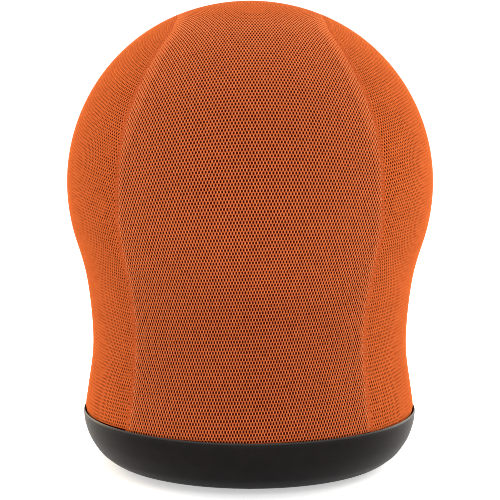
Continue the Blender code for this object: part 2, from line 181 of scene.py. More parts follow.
# ------------------------------------------------------------------ rows and columns
class Weave:
    """The holes' pattern on a panel whose middle line is in the plane x = 0:
    u counts columns to the right, v counts rows along the middle line, from the
    front's hem over the top (v = top) and, on the center panel, down the back."""

    def __init__(self, step, skew, over_the_top, tilt=None, drop=None):
        pitch, step, skew = (smoothed_table(t, 0.05, 0.6003, 0.02) for t in (PITCH, step, skew))
        tilt, drop = (t and smoothed_table(t, 0.05, 0.6003, 0.018) for t in (tilt, drop))
        bottom = float(np.interp(-0.0560, -PROFILE[:, 1], PROFILE_S))
        s = np.arange(0, min(bottom, PROFILE_S[-1]), 0.0005)
        z = np.interp(s, PROFILE_S, PROFILE[:, 1])
        rows = np.concatenate([[0], np.cumsum(0.0005 / np.interp(
            (z[1:] + z[:-1]) / 2, *step))])       # rows below the pole
        self.top = int(rows[-1]) + 0.0
        self.v0 = self.top - rows[-1] + 0.01
        last = 2 * self.top - self.v0 if over_the_top else self.top
        self.dv, self.du = 0.25, 0.5
        self.rows = np.arange(self.v0, last + 1e-9, self.dv)
        down = np.interp(np.abs(self.top - self.rows), rows, s)
        side = np.where(self.rows <= self.top, -1.0, 1.0)
        r0 = np.interp(down, PROFILE_S, PROFILE[:, 0])
        z0 = np.interp(down, PROFILE_S, PROFILE[:, 1])
        self.skews = np.interp(z0, *skew)
        beta = np.linspace(0, math.radians(64), 150)
        cos, sin = np.cos(beta)[None], np.sin(beta)[None]
        if tilt:
            za = np.interp(z0, *tilt)
            length = np.hypot(r0, z0 - za)
            ey, ez = side * r0 / length, (z0 - za) / length
            low = np.zeros((len(z0), len(beta)))
            high = low + 0.45
            for _ in range(32):
                rho = (low + high) / 2
                y, x = rho * cos * ey[:, None], rho * sin
                out = x * x + y * y > radius_squared(za[:, None] + rho * cos * ez[:, None])
                high, low = np.where(out, rho, high), np.where(out, low, rho)
            rho = (low + high) / 2
            p = np.stack([rho * sin, rho * cos * ey[:, None],
                          za[:, None] + rho * cos * ez[:, None]], 2)
        else:
            fall = np.sqrt(beta ** 2 + DROP_SOFT ** 2) - DROP_SOFT
            h = z0[:, None] - np.interp(z0, *drop)[:, None] * fall[None]
            rho = np.sqrt(np.maximum(radius_squared(h), 0))
            p = np.stack([rho * sin, rho * cos * side[:, None], h], 2)
        s = np.concatenate([np.zeros((len(z0), 1)), np.cumsum(
            np.linalg.norm(np.diff(p, axis=1), axis=2), axis=1)], 1)
        k = math.sqrt(0.065) / (COVER_R * math.radians(30))
        a0 = np.interp(z0, *pitch)
        u = np.arctan(k * s) / (k * a0[:, None])
        self.us = np.arange(0, 52.01, self.du)
        self.grid = np.zeros((len(self.rows), len(self.us), 3))
        for i in range(len(self.rows)):
            for axis in range(3):
                self.grid[i, :, axis] = np.interp(self.us, u[i], p[i, :, axis])
        self.grid = onto_cover(self.grid.reshape(-1, 3)).reshape(self.grid.shape)

    def row(self, u, v):
        """The row on the middle line that row v at column u is level with."""
        return v + np.interp(v, self.rows, self.skews) * u

    def at(self, u, v):
        """Points on the cover for columns u and rows v."""
        v = self.row(u, v)
        iv = np.clip((v - self.rows[0]) / self.dv, 0, len(self.rows) - 1.001)
        iu = np.clip(np.abs(u) / self.du, 0, len(self.us) - 1.001)
        j, i = iv.astype(int), iu.astype(int)
        fv, fu = (iv - j)[:, None], (iu - i)[:, None]
        g = self.grid
        p = ((g[j, i] * (1 - fu) + g[j, i + 1] * fu) * (1 - fv)
             + (g[j + 1, i] * (1 - fu) + g[j + 1, i + 1] * fu) * fv)
        return p * np.stack([np.where(u < 0, -1.0, 1.0), np.ones(len(u)), np.ones(len(u))], 1)


def turned_by(p, quarter):
    """Points turned about the axis: 0 as they are, 1 front to right, -1 front to left."""
    if quarter == 0:
        return p
    return np.stack([-quarter * p[:, 1], quarter * p[:, 0], p[:, 2]], 1)


# ------------------------------------------------------------------ the right-hand seam
def catmull(points, between):
    ends = [points[0]] + list(points) + [points[-1]]
    out = []
    for i in range(1, len(ends) - 2):
        p0, p1, p2, p3 = ends[i - 1:i + 3]
        for k in range(between):
            t = k / between
            out.append([0.5 * (2 * b + (c - a) * t + (2 * a - 5 * b + 4 * c - d) * t * t
                               + (3 * b - a - 3 * c + d) * t ** 3)
                        for a, b, c, d in zip(p0, p1, p2, p3)])
    out.append(list(points[-1]))
    return np.array(out)


seam_xz = catmull(SEAM, 12)[::-1]


def seam_x(z):
    return np.interp(z, seam_xz[:, 0], seam_xz[:, 1])


low, high = 0.50, 0.595
for _ in range(50):
    mid = (low + high) / 2
    inside = radius_squared(np.array([mid]))[0] > seam_x(mid) ** 2
    low, high = (mid, high) if inside else (low, mid)
SEAM_TOP = low
t = np.linspace(1, 0, 2600)
z = SEAM_TOP - (SEAM_TOP - 0.0580) * t ** 2
x = seam_x(z)
y = -np.sqrt(np.maximum(radius_squared(z) - x * x, 0))
front = np.stack([x, y, z], 1)
front[-1, 1] = 0
back = front[-2::-1] * (1, -1, 1)
line = np.concatenate([front, back])
s = np.concatenate([[0], np.cumsum(np.linalg.norm(np.diff(line, axis=0), axis=1))])
SEAM_LENGTH = s[-1]
count = int(SEAM_LENGTH / 0.0005)
SEAM_S = np.linspace(0, SEAM_LENGTH, count + 1)
SEAM_P = onto_cover(np.stack([np.interp(SEAM_S, s, line[:, i]) for i in range(3)], 1))
k = np.hanning(17)
for i in range(3):                       # a sewn line has no kinks
    padded = np.concatenate([2 * SEAM_P[0, i] - SEAM_P[8:0:-1, i], SEAM_P[:, i],
                             2 * SEAM_P[-1, i] - SEAM_P[-2:-10:-1, i]])
    SEAM_P[:, i] = np.convolve(padded, k / k.sum(), "valid")
SEAM_P = onto_cover(SEAM_P)
SEAM_T = np.gradient(SEAM_P, SEAM_S, axis=0)
SEAM_T /= np.linalg.norm(SEAM_T, axis=1)[:, None]
SEAM_N = normal_at(SEAM_P)
SEAM_B = np.cross(SEAM_N, SEAM_T)        # across the seam
SEAM_B /= np.linalg.norm(SEAM_B, axis=1)[:, None]
if SEAM_B[0, 0] > 0:                     # towards the center panel
    SEAM_B = -SEAM_B
tree = kdtree.KDTree(len(SEAM_P))
for i, p in enumerate(SEAM_P):
    tree.insert(p, i)
tree.balance()


def beside_seam(p):
    """For points with x > 0: distance from the seam, positive on the center panel's
    side, and the place along the seam."""
    near = np.array([tree.find(q)[1] for q in p], int)
    off = p - SEAM_P[near]
    return (off * SEAM_B[near]).sum(1), SEAM_S[near] + (off * SEAM_T[near]).sum(1)


def from_seam(s, d):
    """Points on the cover at place s along the seam and distance d from it."""
    i = np.clip(s / (SEAM_S[1] - SEAM_S[0]), 0, len(SEAM_S) - 1.001)
    j, f = i.astype(int), (i - i.astype(int))[:, None]
    p = SEAM_P[j] * (1 - f) + SEAM_P[j + 1] * f
    b = SEAM_B[j] * (1 - f) + SEAM_B[j + 1] * f
    return onto_cover(p + b * d[:, None])


def allowance_share(s):
    """1 where the cloth turned in at the seam is at its widest, over the crown, and 0
    further down."""
    t = np.clip((np.interp(s, SEAM_S, SEAM_P[:, 2]) - 0.39) / 0.07, 0, 1)
    return t * t * (3 - 2 * t)


def allowance_width(s):
    return 0.0085 + 0.0095 * allowance_share(s)


# ------------------------------------------------------------------ mesh helpers
def mesh_from(name, verts, faces, normals=None, uv=None, marks=None):
    """faces is a list of index arrays, one row a face, with 3 or 4 columns. marks are
    the point attributes that the yarn's material reads."""
    me = bpy.data.meshes.new(name)
    me.vertices.add(len(verts))
    me.vertices.foreach_set("co", np.asarray(verts, np.float32).ravel())
    faces = [np.asarray(f, np.int32) for f in faces if len(f)]
    loops = np.concatenate([f.ravel() for f in faces])
    sizes = np.concatenate([np.full(len(f), f.shape[1]) for f in faces])
    me.loops.add(len(loops))
    me.loops.foreach_set("vertex_index", loops)
    me.polygons.add(len(sizes))
    me.polygons.foreach_set("loop_start",
                            np.concatenate([[0], np.cumsum(sizes)[:-1]]).astype(np.int32))
    me.polygons.foreach_set("use_smooth", np.ones(len(sizes), bool))
    me.update(calc_edges=True)
    me.validate()
    if uv is not None:
        layer = me.uv_layers.new(name="OFBake")
        index = np.zeros(len(me.loops), np.int32)
        me.loops.foreach_get("vertex_index", index)
        layer.data.foreach_set("uv", np.asarray(uv, np.float32)[index].ravel())
    for mark, values in (marks or {}).items():
        me.attributes.new(mark, "FLOAT", "POINT").data.foreach_set(
            "value", np.asarray(values, np.float32))
    if normals is not None:
        me.normals_split_custom_set_from_vertices(np.asarray(normals, float).tolist())
    obj = bpy.data.objects.new(name, me)
    bpy.context.scene.collection.objects.link(obj)
    return obj


def vertex_normals(verts, faces):
    n = np.zeros_like(verts)
    for f in faces:
        if not len(f):
            continue
        a, b, c = verts[f[:, 0]], verts[f[:, 1]], verts[f[:, 2]]
        if f.shape[1] == 4:
            made = np.cross(c - a, verts[f[:, 3]] - b)
        else:
            made = np.cross(b - a, c - a)
        for i in range(f.shape[1]):
            for axis in range(3):
                n[:, axis] += np.bincount(f[:, i], made[:, axis], len(verts))
    return n / (np.linalg.norm(n, axis=1)[:, None] + 1e-20)


def piece_of(name, verts, faces, normals, uv, marks):
    """One piece from some faces of a larger mesh, with the larger mesh's normals."""
    used = np.unique(np.concatenate([f.ravel() for f in faces if len(f)]))
    new = np.full(len(verts), -1)
    new[used] = np.arange(len(used))
    place = uv[used]
    low, high = place.min(0), place.max(0)
    place = 0.008 + 0.984 * (place - low) / (high - low)
    return mesh_from(name, verts[used], [new[f] for f in faces if len(f)],
                     normals[used], place, {k: v[used] for k, v in marks.items()})


def turned(name, points, steps, closed=True):
    """A solid of revolution from (radius, height) points. They run down the outer
    side; a point on the axis makes the end of a closed solid."""
    pts = np.array(points, float)
    ring = 2 * np.pi * np.arange(steps) / steps
    on_axis = pts[:, 0] < 1e-9
    verts, first = [], []
    for (r, h), pole in zip(pts, on_axis):
        first.append(sum(len(v) for v in verts))
        if pole:
            verts.append(np.array([[0, 0, h]]))
        else:
            verts.append(np.stack([r * np.cos(ring), r * np.sin(ring),
                                   np.full(steps, h)], 1))
    here, after = np.arange(steps), (np.arange(steps) + 1) % steps
    quads, tris = [], []
    pairs = [(i, i + 1) for i in range(len(pts) - 1)] + ([(len(pts) - 1, 0)] if closed else [])
    for a, b in pairs:
        if on_axis[a] and on_axis[b]:
            continue
        if on_axis[a]:
            tris.append(np.stack([np.full(steps, first[a]), first[b] + here, first[b] + after], 1))
        elif on_axis[b]:
            tris.append(np.stack([first[a] + here, np.full(steps, first[b]), first[a] + after], 1))
        else:
            quads.append(np.stack([first[a] + here, first[b] + here,
                                   first[b] + after, first[a] + after], 1))
    return mesh_from(name, np.concatenate(verts),
                     [np.concatenate(f) for f in (quads, tris) if f])


def sharpen(obj, degrees=35):
    obj.data.set_sharp_from_angle(angle=math.radians(degrees))
    return obj


# ------------------------------------------------------------------ materials
def material(name, colour, roughness, metallic=0.0, **more):
    made = bpy.data.materials.new(name)
    made.use_nodes = True
    shader = made.node_tree.nodes["Principled BSDF"]
    shader.inputs["Base Color"].default_value = (*colour, 1.0)
    shader.inputs["Roughness"].default_value = roughness
    shader.inputs["Metallic"].default_value = metallic
    for socket, value in more.items():
        shader.inputs[socket.replace("_", " ")].default_value = value
    return made, made.node_tree, shader


def node(tree, kind, **settings):
    made = tree.nodes.new(kind)
    for key, value in settings.items():
        if key in made.inputs:
            made.inputs[key].default_value = value
        else:
            setattr(made, key, value)
    return made


def noise(tree, scale, detail=2.0, rough=0.5, stretch=(1, 1, 1)):
    place = node(tree, "ShaderNodeTexCoord")
    move = node(tree, "ShaderNodeMapping")
    move.inputs["Scale"].default_value = stretch
    tree.links.new(place.outputs["Object"], move.inputs["Vector"])
    made = node(tree, "ShaderNodeTexNoise", Scale=scale, Detail=detail, Roughness=rough)
    tree.links.new(move.outputs["Vector"], made.inputs["Vector"])
    return made.outputs["Fac"]


def ramp(tree, value, stops):
    made = node(tree, "ShaderNodeValToRGB")
    ends = made.color_ramp.elements
    while len(ends) < len(stops):
        ends.new(0.5)
    for end, (place, colour) in zip(ends, stops):
        end.position = place
        end.color = (*colour, 1.0) if len(colour) == 3 else colour
    tree.links.new(value, made.inputs["Fac"])
    return made.outputs["Color"]


def grey(x):
    return (x, x, x)


def bump(tree, shader, value, distance, strength=1.0):
    made = node(tree, "ShaderNodeBump")
    made.inputs["Distance"].default_value = distance
    made.inputs["Strength"].default_value = strength
    tree.links.new(value, made.inputs["Height"])
    tree.links.new(made.outputs["Normal"], shader.inputs["Normal"])
    return made


def mix(tree, a, b, factor, blend="MIX"):
    made = node(tree, "ShaderNodeMix", data_type="RGBA", blend_type=blend)
    for socket, value in ((made.inputs[6], a), (made.inputs[7], b), (made.inputs[0], factor)):
        if hasattr(value, "links"):
            tree.links.new(value, socket)
        else:
            socket.default_value = value if isinstance(value, float) else (*value, 1.0)
    return made.outputs[2]


def yarn(name, dark, low, middle, high, sink=(0.55, 0.92), roughness=0.7):
    """Knitted yarn with painted light in its colour: a painted highlight on the strands' backs, painted shade where
    strands cross, and painted shade towards the bottom of the holes, from the first to the second share of sink."""
    made, tree, shader = material(name, high, roughness, 0.0, Specular_IOR_Level=0.0,
                                  Sheen_Weight=0.22, Sheen_Roughness=0.35,
                                  Sheen_Tint=(1.0, 0.40, 0.10, 1.0))
    # painted highlight and shade: the mark crest lightens the strands' backs and darkens the hollows, and the mark
    # deep darkens the holes' walls towards their bottom
    back = node(tree, "ShaderNodeAttribute", attribute_name="crest")
    painted_tone = ramp(tree, back.outputs["Fac"], [(0.0, dark), (0.28, low), (0.65, middle), (1.0, high)])
    sunk = node(tree, "ShaderNodeAttribute", attribute_name="deep")
    painted_tone = mix(tree, painted_tone, dark, ramp(tree, sunk.outputs["Fac"], [(sink[0], grey(0.0)), (sink[1], grey(1.0))]))
    broad = ramp(tree, noise(tree, 22, 2), [(0.3, grey(0.94)), (0.7, grey(1.0))])
    fine = ramp(tree, noise(tree, 1500, 3, 0.6, (1, 1, 0.35)), [(0.25, grey(0.86)), (0.75, grey(1.0))])
    # filaments run along each strand: their number across it is in the mark "strand"
    across = node(tree, "ShaderNodeAttribute", attribute_name="strand")
    waver = node(tree, "ShaderNodeMath", operation="MULTIPLY_ADD")
    tree.links.new(noise(tree, 700, 2), waver.inputs[0])
    waver.inputs[1].default_value = 0.25
    tree.links.new(across.outputs["Fac"], waver.inputs[2])
    turn = node(tree, "ShaderNodeMath", operation="MULTIPLY")
    tree.links.new(waver.outputs[0], turn.inputs[0])
    turn.inputs[1].default_value = 2 * math.pi
    wave = node(tree, "ShaderNodeMath", operation="COSINE")
    tree.links.new(turn.outputs[0], wave.inputs[0])
    ridge = node(tree, "ShaderNodeMath", operation="MULTIPLY_ADD")
    tree.links.new(wave.outputs[0], ridge.inputs[0])
    ridge.inputs[1].default_value = ridge.inputs[2].default_value = 0.5
    threads = ramp(tree, ridge.outputs[0], [(0.0, grey(0.80)), (0.6, grey(1.0))])
    colour = mix(tree, mix(tree, painted_tone, broad, 1.0, "MULTIPLY"), fine, 1.0, "MULTIPLY")
    tree.links.new(mix(tree, colour, threads, 1.0, "MULTIPLY"), shader.inputs["Base Color"])
    rough = node(tree, "ShaderNodeMath", operation="MULTIPLY_ADD")
    tree.links.new(ridge.outputs[0], rough.inputs[0])
    rough.inputs[1].default_value = 0.7
    tree.links.new(noise(tree, 2600, 2, 0.6, (1, 1, 0.3)), rough.inputs[2])
    bump(tree, shader, rough.outputs[0], 0.00012, 0.7)
    return made


# tones from the hollows to the strands' backs: the darkest is painted shade in the holes, the highest a painted
# highlight, palest on the center panel, which faces the front light
YARN = ((0.056, 0.0028, 0.0008), (0.47, 0.062, 0.0095), (0.65, 0.168, 0.057), (0.94, 0.382, 0.182))
COVER = yarn("cover_mesh_yarn", *YARN)
# the side panels' copy of the same yarn, with less painted highlight and its painted shade set deeper in the holes,
# as they turn away from the front light
SIDE = yarn("cover_side_yarn", (0.062, 0.004, 0.0011), (0.44, 0.059, 0.0095),
            (0.65, 0.142, 0.037), (0.97, 0.322, 0.112), sink=(0.70, 1.0))
# a darker copy of the same yarn for the seams' edges: painted shade at the seam
EDGE = yarn("cover_seam_yarn", (0.060, 0.005, 0.0013), (0.43, 0.064, 0.013),
            (0.59, 0.126, 0.038), (0.82, 0.280, 0.120))

THREAD, tree_a, shader = material("seam_thread", (0.62, 0.130, 0.030), 0.55, Specular_IOR_Level=0.2)
tone = ramp(tree_a, noise(tree_a, 1200, 2), [(0.3, (0.52, 0.105, 0.022)), (0.7, (0.74, 0.165, 0.040))])
tree_a.links.new(tone, shader.inputs["Base Color"])
bump(tree_a, shader, noise(tree_a, 3000, 1), 0.00008, 0.6)

# the turned-in cloth is the cover's orange yarn, coloured dark brown as painted shade where it lies behind the net
ALLOWANCE, tree_a, shader = material("seam_allowance", (0.100, 0.017, 0.005), 0.9, Specular_IOR_Level=0.0)
tone = ramp(tree_a, noise(tree_a, 900, 3), [(0.3, (0.075, 0.012, 0.0035)), (0.7, (0.135, 0.023, 0.006))])
tree_a.links.new(tone, shader.inputs["Base Color"])
bump(tree_a, shader, noise(tree_a, 1800, 2), 0.0001, 0.6)

# the lining is a dark inner layer, and its near-black also stands as painted shade inside the holes
LINING_FINISH, tree_a, shader = material("cover_lining", (0.052, 0.0035, 0.0014), 0.9, Specular_IOR_Level=0.0)
tone = ramp(tree_a, noise(tree_a, 1100, 3), [(0.3, (0.040, 0.003, 0.0012)), (0.7, (0.065, 0.004, 0.0016))])
tree_a.links.new(tone, shader.inputs["Base Color"])
bump(tree_a, shader, noise(tree_a, 2200, 2), 0.0001, 0.5)

DISH, tree_a, shader = material("dish_plastic", (0.0066, 0.0057, 0.0056), 0.40, Specular_IOR_Level=0.055)
tone = ramp(tree_a, noise(tree_a, 60, 4, 0.6), [(0.3, (0.0054, 0.0046, 0.0045)), (0.7, (0.0080, 0.0068, 0.0067))])
# painted highlight: the base colour turns lighter in a thin band round the top of the lip, by height
place = node(tree_a, "ShaderNodeTexCoord")
height = node(tree_a, "ShaderNodeSeparateXYZ")
tree_a.links.new(place.outputs["Object"], height.inputs[0])
above = node(tree_a, "ShaderNodeMath", operation="MULTIPLY_ADD")
tree_a.links.new(height.outputs["Z"], above.inputs[0])
above.inputs[1].default_value, above.inputs[2].default_value = 1 / 0.0074, -0.0650 / 0.0074
painted_lip_highlight = ramp(tree_a, above.outputs[0], [(0.0, grey(0.0)), (0.68, grey(0.10)), (0.84, grey(0.80)), (1.0, grey(1.0))])
tree_a.links.new(mix(tree_a, tone, (0.038, 0.036, 0.035), painted_lip_highlight), shader.inputs["Base Color"])
gloss = ramp(tree_a, noise(tree_a, 900, 2), [(0.3, grey(0.38)), (0.7, grey(0.48))])
tree_a.links.new(gloss, shader.inputs["Roughness"])
bump(tree_a, shader, noise(tree_a, 1300, 2, 0.5), 0.00006, 0.7)

HEM, tree_a, shader = material("hem_elastic", (0.45, 0.085, 0.018), 0.8, Sheen_Weight=0.2)
tone = ramp(tree_a, noise(tree_a, 700, 3), [(0.3, (0.36, 0.060, 0.013)), (0.7, (0.52, 0.100, 0.020))])
tree_a.links.new(tone, shader.inputs["Base Color"])
bump(tree_a, shader, noise(tree_a, 1700, 2), 0.0001, 0.6)

VINYL, tree_a, shader = material("ball_vinyl", (0.045, 0.014, 0.012), 0.5)
tone = ramp(tree_a, noise(tree_a, 9, 4), [(0.3, (0.036, 0.011, 0.010)), (0.7, (0.055, 0.017, 0.014))])
tree_a.links.new(tone, shader.inputs["Base Color"])
gloss = ramp(tree_a, noise(tree_a, 45, 4), [(0.3, grey(0.42)), (0.7, grey(0.62))])
tree_a.links.new(gloss, shader.inputs["Roughness"])
bump(tree_a, shader, noise(tree_a, 900, 2), 0.00004, 0.5)

PLUG, tree_a, shader = material("plug_plastic", (0.78, 0.76, 0.70), 0.45)
tone = ramp(tree_a, noise(tree_a, 150, 3), [(0.3, (0.70, 0.68, 0.62)), (0.7, (0.82, 0.80, 0.75))])
tree_a.links.new(tone, shader.inputs["Base Color"])

RUBBER, tree_a, shader = material("foot_rubber", (0.018, 0.018, 0.019), 0.8)
tone = ramp(tree_a, noise(tree_a, 400, 3), [(0.3, grey(0.013)), (0.7, grey(0.026))])
tree_a.links.new(tone, shader.inputs["Base Color"])
bump(tree_a, shader, noise(tree_a, 1200, 2), 0.00006, 0.6)

FOAM, tree_a, shader = material("pad_rubber", (0.012, 0.012, 0.013), 0.92)
tone = ramp(tree_a, noise(tree_a, 1600, 2), [(0.35, grey(0.006)), (0.65, grey(0.020))])
tree_a.links.new(tone, shader.inputs["Base Color"])
bump(tree_a, shader, noise(tree_a, 1600, 2), 0.00015, 0.8)

PAINT, tree_a, shader = material("frame_paint", (0.022, 0.022, 0.024), 0.45)
tone = ramp(tree_a, noise(tree_a, 30, 3), [(0.3, grey(0.018)), (0.7, grey(0.028))])
tree_a.links.new(tone, shader.inputs["Base Color"])
bump(tree_a, shader, noise(tree_a, 1400, 2, 0.5), 0.00008, 0.7)

ZINC, tree_a, shader = material("zinc_steel", (0.62, 0.62, 0.60), 0.34, 1.0)
tone = ramp(tree_a, noise(tree_a, 80, 4), [(0.3, (0.56, 0.56, 0.53)), (0.7, (0.68, 0.68, 0.66))])
tree_a.links.new(tone, shader.inputs["Base Color"])
gloss = ramp(tree_a, noise(tree_a, 400, 3), [(0.3, grey(0.26)), (0.7, grey(0.42))])
tree_a.links.new(gloss, shader.inputs["Roughness"])

BEARING, tree_a, shader = material("bearing_steel", (0.70, 0.70, 0.70), 0.2, 1.0)
tone = ramp(tree_a, noise(tree_a, 120, 3), [(0.3, grey(0.64)), (0.7, grey(0.74))])
tree_a.links.new(tone, shader.inputs["Base Color"])
gloss = ramp(tree_a, noise(tree_a, 500, 3), [(0.3, grey(0.14)), (0.7, grey(0.28))])
tree_a.links.new(gloss, shader.inputs["Roughness"])


def finish_with(obj, made):
    obj.data.materials.clear()
    obj.data.materials.append(made)
    return obj


# ------------------------------------------------------------------ open mesh of a panel
OUTLINE = np.array([(0.5, 0), (0.5, 0.397), (0, 0.603), (-0.5, 0.397),
                    (-0.5, 0), (-0.5, -0.397), (0, -0.603), (0.5, -0.397)])
HOLE_DEPTH = 0.00030


def cell(strand, corner, peak, rim, half_width, shoulder, half_height):
    """Depth in metres and crest at the strand beside the hole, at the corners and at the
    peaks of a cell, crests of the hole's rim there, and the hole's half sizes."""
    around = [0, 1, 2, 1, 0, 1, 2, 1]
    outline = np.array([strand, corner, peak])[around]
    (x, y), w, h = shoulder, half_width, half_height
    hole = np.array([(w, 0), (x, y), (0, h), (-x, y), (-w, 0), (-x, -y), (0, -h), (x, -y)])
    return outline[:, 0], outline[:, 1], hole, np.array(rim)[around]


# On the center panel the strands between two holes of a row lie highest. The side
# panels are pulled more round the ball: their holes are shorter and wider, and the
# ridges between rows lie highest.
# crest marks: high ones give the strands a painted highlight, low ones give the hollows painted shade
CENTER_CELL = cell((0, 1.0), (0.00016, 0.42), (0.00016, 0.38), (0.74, 0.50, 0.34),
                   0.346, (0.268, 0.288), 0.465)
SIDE_CELL = cell((0.00005, 0.82), (0.00009, 0.50), (0.00008, 0.48), (0.62, 0.48, 0.42),
                 0.360, (0.276, 0.272), 0.440)
# the holes open a little more towards the foot of the cover, where nothing lies behind
# and close up towards the crown
OPENING = ((0.10, 0.22, 0.34, 0.50, 0.56, 0.583, 0.599),
           (1.065, 1.085, 1.02, 1.0, 0.95, 0.87, 0.74))
OPENING_SIDE = (OPENING[0], (1.01, 1.0, 1.0, 1.0, 0.95, 0.87, 0.74))


def closed_up(z, d):
    """How far the cloth closes up beside the seams, high on the shoulders."""
    rise, near = np.clip((z - 0.490) / 0.055, 0, 1), np.clip((0.017 - d) / 0.014, 0, 1)
    return rise * rise * (3 - 2 * rise) * near * near * (3 - 2 * near)


def flattened(crest, z, d, level):
    """Crest marks of the strands, which set their painted highlight and shade, evened out where the cloth closes up
    and, with less painted highlight, on the crown.
    """
    crown = np.clip((z - 0.572) / 0.022, 0, 1)
    crest = crest + (level - crest) * 0.7 * closed_up(z, d)
    return crest + (level - 0.10 - crest) * 0.65 * crown * crown * (3 - 2 * crown)


def open_mesh(weave, quarter, shape, allowance):
    """The whole open mesh of one panel, as shared arrays. The row of holes that a face
    belongs to is kept, so that the panel can be cut into pieces by rows."""
    sign = 1.0 if quarter == 0 else -1.0
    outline_depth, outline_crest, hole, rim_crest = shape

    def placed(u, v):
        return turned_by(weave.at(u, v), quarter)

    def seam_side(p):
        """Distance into the panel from its nearer seam, and place along that seam."""
        d, s = beside_seam(p * np.where(p[:, :1] < 0, (-1.0, 1, 1), (1.0, 1, 1)))
        return d * sign, s

    rows = np.arange(math.ceil(weave.rows[0] + 2), int(weave.rows[-1] - 0.7) + 1)
    cols = np.arange(-51, 52)
    j, i = (a.ravel() for a in np.meshgrid(rows, cols, indexing="ij"))
    cu = i + 0.5 * (j % 2)
    cv = j.astype(float)
    row = weave.row(cu, cv)
    inside = (row > weave.rows[0] + 0.7) & (row < weave.rows[-1] - 0.7)
    p = placed(cu, cv)
    x, zz = np.abs(p[:, 0]), p[:, 2]
    rough = (seam_x(np.minimum(zz, SEAM_TOP)) - x) * sign
    if quarter:
        inside &= (p[:, 0] * quarter > 0.02)
    inside &= (rough > -0.012) & (zz > COVER_BOTTOM - 0.001)
    cu, cv, p, rough = cu[inside], cv[inside], p[inside], rough[inside]
    near = rough < 0.030
    d, along = np.full(len(cu), 0.05), np.zeros(len(cu))
    d[near], along[near] = seam_side(p[near])
    keep = d > EDGE_D - 0.0028
    cu, cv, d, along = cu[keep], cv[keep], d[keep], along[keep]
    n = len(cu)

    # shared outline points
    ou, ov = cu[:, None] + OUTLINE[:, 0], cv[:, None] + OUTLINE[:, 1]
    key = (np.round(ou * 2).astype(np.int64) + 4096) * 4194304 + np.round(ov * 1000).astype(np.int64)
    keys, first, index = np.unique(key, return_index=True, return_inverse=True)
    index = index.reshape(n, 8)
    u, v = ou.ravel()[first], ov.ravel()[first]
    depth = np.tile(outline_depth, n)[first]
    crest = np.tile(outline_crest, n)[first]
    p = placed(u, v)
    close = np.zeros(len(u), bool)
    close[index[d < 0.0190].ravel()] = True
    pd = np.full(len(u), 0.05)
    ps = np.zeros(len(u))
    pd[close], ps[close] = seam_side(p[close])
    past = pd < EDGE_D
    flip = np.where(p[:, :1] < 0, (-1.0, 1, 1), (1.0, 1, 1))
    p[past] = from_seam(ps[past], np.full(past.sum(), EDGE_D * sign)) * flip[past]
    depth[past] = 0.00008
    if allowance:
        crest = flattened(crest, p[:, 2], pd, 0.50)
    verts = [p - normal_at(p) * depth[:, None]]
    uvs, crests, strands, deeps = [np.stack([u, v], 1)], [crest], [np.zeros(len(u))], [np.zeros(len(u))]
    whole = ~past[index].all(1)          # something of the cell is on the panel
    cu, cv, d, along, index = cu[whole], cv[whole], d[whole], along[whole], index[whole]
    n = len(cu)
    total = len(u)

    is_open = d > EDGE_D - 0.0003
    faces_quad, faces_tri, quad_row, tri_row = [], [], [], []

    # open cells: a rounded rim, then the wall of the hole
    o = np.nonzero(is_open)[0]
    m = len(o)
    size = 1 + RNG.uniform(-0.05, 0.05, (m, 1))
    dd = d[o][:, None]
    if allowance:
        s = along[o][:, None]
        band = np.clip((allowance_width(s) + 0.0005 - dd) / 0.0025, 0, 1)
        size = size * (1 - band * (0.05 + 0.07 * allowance_share(s) + RNG.uniform(-0.05, 0.05, (m, 1))))
    size = size * np.clip(0.82 + (dd - EDGE_D) / 0.0040 * 0.18, 0.82, 1)
    height = placed(cu[o], cv[o])[:, 2:]
    size = size * np.interp(height, *(OPENING_SIDE if quarter else OPENING))
    rims = np.tile(rim_crest, (m, 1))
    if allowance:
        size = size * (1 - 0.32 * closed_up(height, dd))
        rims = flattened(rims, height, dd, 0.46)
    lean = RNG.uniform(-0.025, 0.025, (m, 2))
    ring = np.arange(8)
    for level, (inward, deep) in enumerate(((1.0, HOLE_DEPTH), (0.93, WALL))):
        ru = cu[o][:, None] + hole[:, 0] * size * inward + lean[:, :1]
        rv = cv[o][:, None] + hole[:, 1] * size * inward + lean[:, 1:]
        q = placed(ru.ravel(), rv.ravel())
        cut = np.repeat(d[o] < EDGE_D + 0.0028, 8)      # the seam cuts through these holes
        if cut.any():
            qd, qs = seam_side(q[cut])
            flip = np.where(q[cut][:, :1] < 0, (-1.0, 1, 1), (1.0, 1, 1))
            q[cut] = from_seam(qs, np.maximum(qd, EDGE_D + 0.0003) * sign) * flip
        qn = normal_at(q)
        verts.append(q - qn * deep)
        shrink = 1.0 if level == 0 else 0.5
        uvs.append(np.stack([(cu[o][:, None] + hole[:, 0] * size * shrink).ravel(),
                             (cv[o][:, None] + hole[:, 1] * size * shrink).ravel()], 1))
        # crest marks for painted highlight and shade, lower at the wall's bottom, where the mark deep adds painted
        # shade
        crests.append((rims if level == 0 else rims * 0.85).ravel())
        strands.append(np.full(8 * m, 1.5 if level == 0 else 3.5))
        deeps.append(np.full(8 * m, 0.25 if level == 0 else 1.0))
    rim = total + np.arange(m)[:, None] * 8 + ring
    low = rim + m * 8
    nxt = np.roll(ring, -1)
    for a, b in ((index[o], rim), (rim, low)):
        faces_quad.append(np.stack([a, a[:, nxt], b[:, nxt], b], 2).reshape(-1, 4))
        quad_row.append(np.repeat(cv[o], 8))
    total += 2 * m * 8

